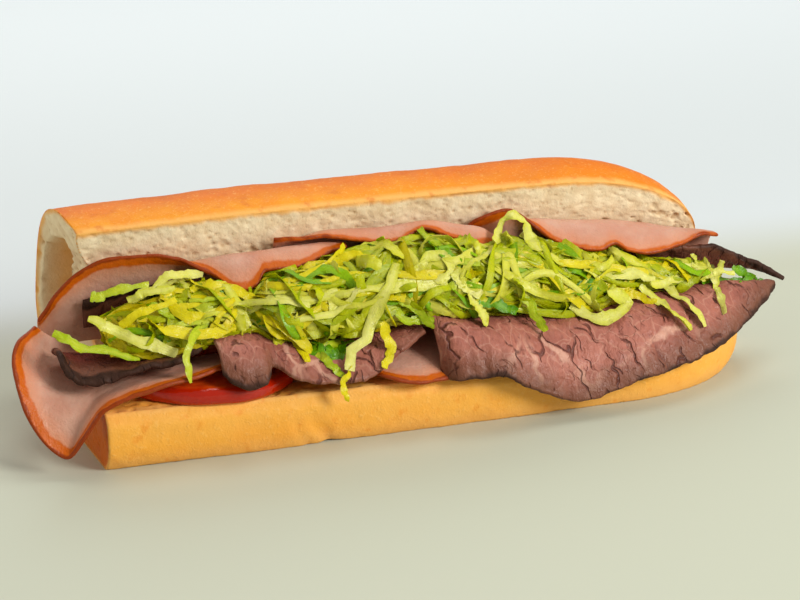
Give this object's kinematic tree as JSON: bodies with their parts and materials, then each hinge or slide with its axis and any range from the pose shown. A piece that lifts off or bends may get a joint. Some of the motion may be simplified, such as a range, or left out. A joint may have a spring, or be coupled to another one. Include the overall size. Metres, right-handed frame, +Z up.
{
  "type": "submarine sandwich",
  "caption": "Open submarine sandwich: a hinged long roll with folded ham and roast beef slices, tomato and a heap of shredded lettuce.",
  "frame": {"origin": "centre of the bounding box at the level the roll rests on", "axes": "+X along the roll towards its round end, +Y from the open front towards the hinge, +Z up"},
  "size_m": [0.3003, 0.0912, 0.0778],
  "materials": {
    "bread": "baked golden crust, satin, with a pale open crumb on the cut faces",
    "tomato": "wet and glossy red",
    "ham": "moist pale pink with an orange brown rind",
    "beef": "moist dusky red with pale marbling and dark browned edges",
    "lettuce": "crisp yellow green, satin"
  },
  "bodies": {
    "root": {"roll": "bread", "tomato_slice": "tomato", "ham_front_left": "ham", "ham_front_middle": "ham", "ham_back_left": "ham", "ham_back_middle": "ham", "ham_back_right": "ham", "beef_front_left": "beef", "beef_front_middle": "beef", "beef_front_right": "beef", "beef_back_left": "beef", "beef_back_right": "beef", "lettuce": "lettuce"}
  },
  "joints": []
}
